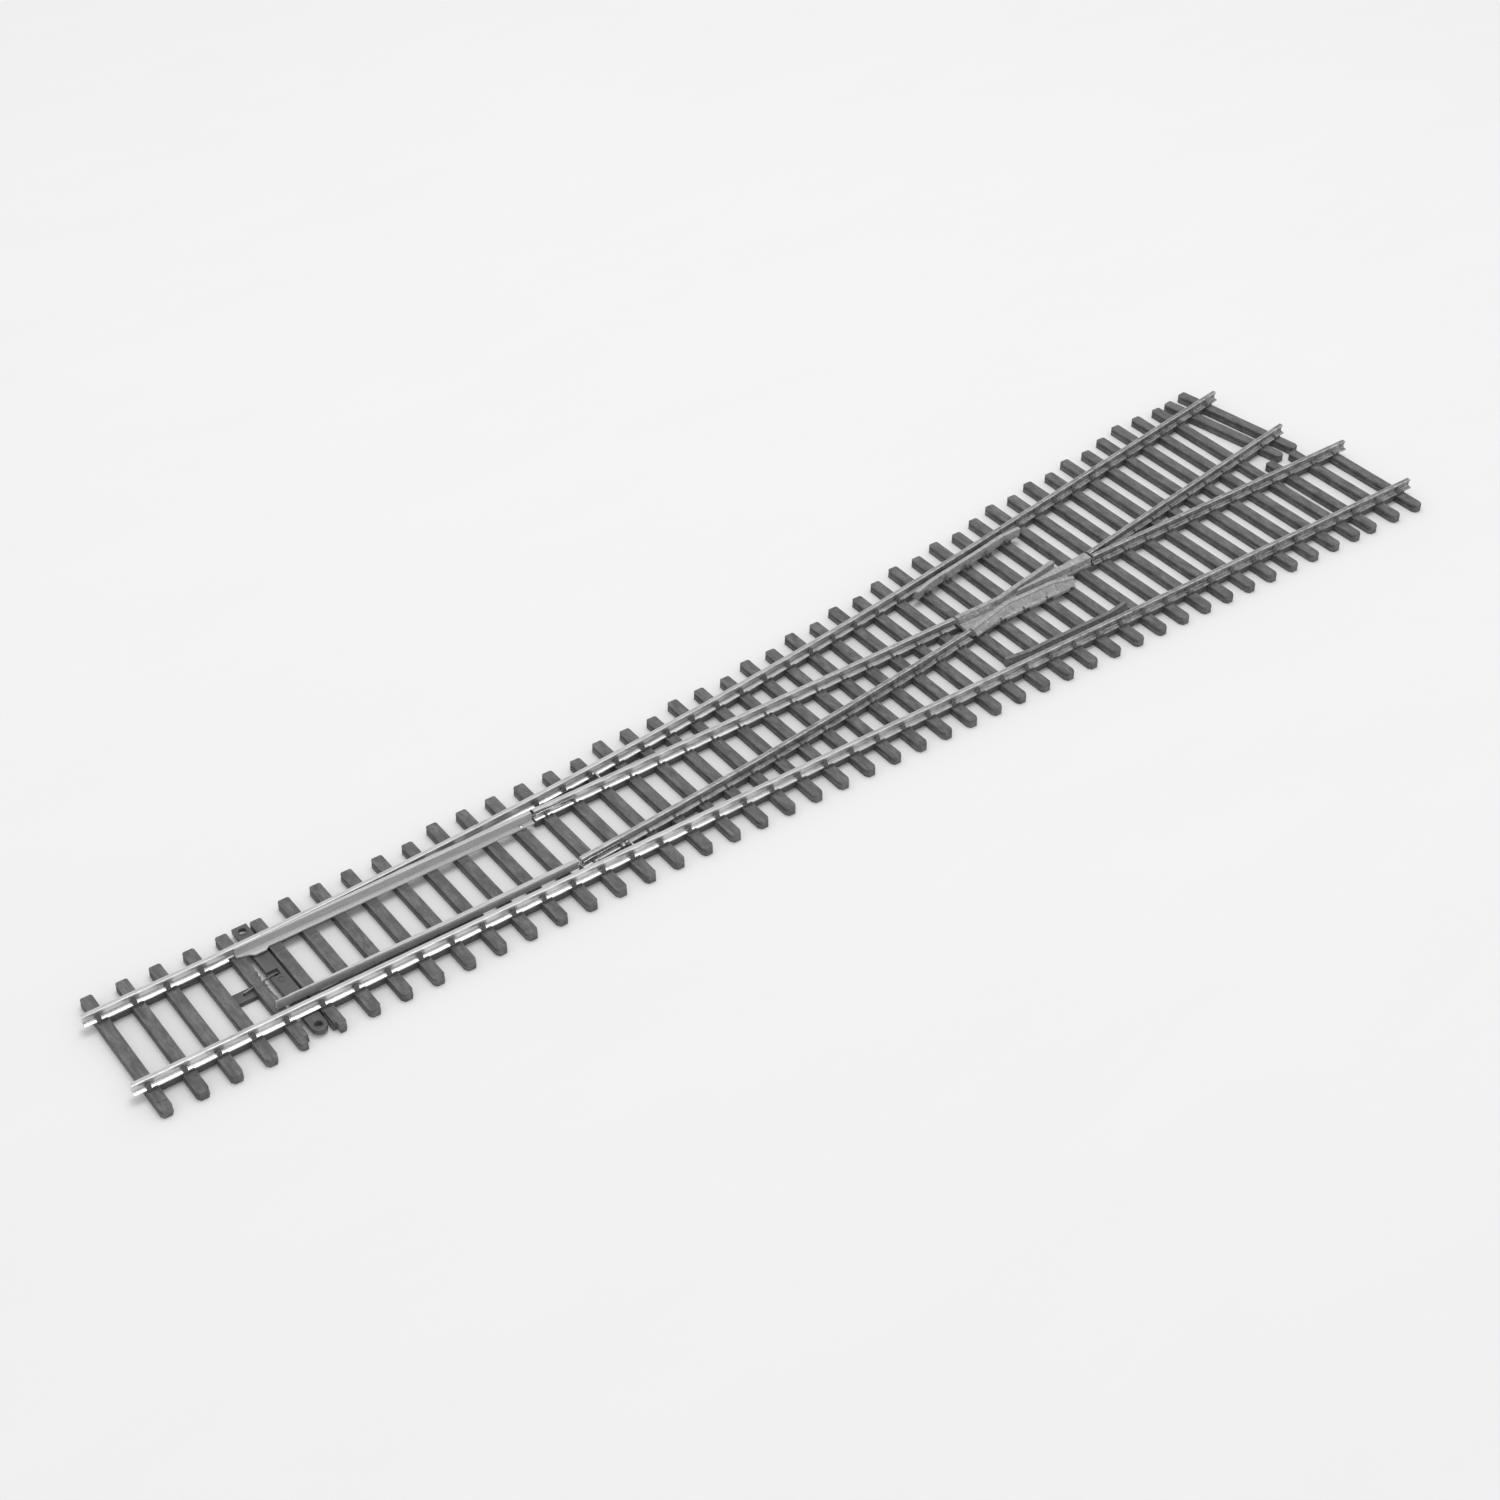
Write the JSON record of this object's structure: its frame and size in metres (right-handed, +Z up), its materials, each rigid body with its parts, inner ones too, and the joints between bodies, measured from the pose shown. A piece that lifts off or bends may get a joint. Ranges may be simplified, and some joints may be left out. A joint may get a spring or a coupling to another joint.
{
  "type": "model turnout switch",
  "caption": "Left-hand model railway turnout with pivoting switch blades, sliding tie bar, cast frog and check rails on a moulded sleeper base.",
  "frame": {"origin": "middle of the bounding box, on the underside of the sleepers", "axes": "+X along the straight route from the toe to the heel, +Y to the diverging side, +Z up through the rail heads"},
  "size_m": [0.2744, 0.058, 0.0035],
  "materials": {
    "sleeper_plastic": "moulded, fine wood grain",
    "tie_bar_plastic": "moulded, smooth",
    "rail_steel": "drawn, bright on the head",
    "frog_casting": "cast, slightly rough, light grey",
    "check_rail_metal": "cast, dull grey",
    "blade_sheet": "pressed sheet, satin",
    "bright_wire": "bright wire and small pressings",
    "spring_wire": "blued spring wire"
  },
  "bodies": {
    "track": {"sleeper_base": "sleeper_plastic", "near_stock_rail": "rail_steel", "far_stock_rail": "rail_steel", "straight_closure_rail": "rail_steel", "curved_closure_rail": "rail_steel", "straight_exit_rail": "rail_steel", "diverging_exit_rail": "rail_steel", "frog_casting": "frog_casting", "near_check_rail": "check_rail_metal", "far_check_rail": "check_rail_metal", "far_heel_rivet": "bright_wire", "near_heel_rivet": "bright_wire", "far_heel_clip": "bright_wire", "near_heel_clip": "bright_wire", "far_bond_wire": "bright_wire", "near_bond_wire": "bright_wire"},
    "tie_bar": {"tie_bar": "tie_bar_plastic"},
    "far_switch_blade": {"far_blade": "blade_sheet", "far_drive_pin": "bright_wire"},
    "near_switch_blade": {"near_blade": "blade_sheet", "near_drive_pin": "bright_wire"},
    "centre_spring": {"over_centre_spring": "spring_wire"}
  },
  "joints": [
    {"name": "tie_bar_slide", "type": "slide", "parent": "track", "child": "tie_bar", "axis": [0, -1, 0], "range_m": [0, 0.0021]},
    {"name": "far_blade_pivot", "type": "hinge", "parent": "track", "child": "far_switch_blade", "pos_m": [-0.0594, -0.00668, 0.00168], "axis": [0, 0, 1], "range_deg": [0, 2.47]},
    {"name": "near_blade_pivot", "type": "hinge", "parent": "track", "child": "near_switch_blade", "pos_m": [-0.0594, -0.01965, 0.00168], "axis": [0, 0, 1], "range_deg": [0, 2.47]},
    {"name": "spring_swing", "type": "hinge", "parent": "track", "child": "centre_spring", "pos_m": [-0.1142, -0.01377, 0.00125], "axis": [0, 0, -1], "range_deg": [0, 19.54]}
  ],
  "couplings": [
    {"joint": "far_blade_pivot", "follows": "tie_bar_slide", "rad_per_m": 20.534},
    {"joint": "near_blade_pivot", "follows": "tie_bar_slide", "rad_per_m": 20.534},
    {"joint": "spring_swing", "follows": "tie_bar_slide", "rad_per_m": 162.34}
  ]
}
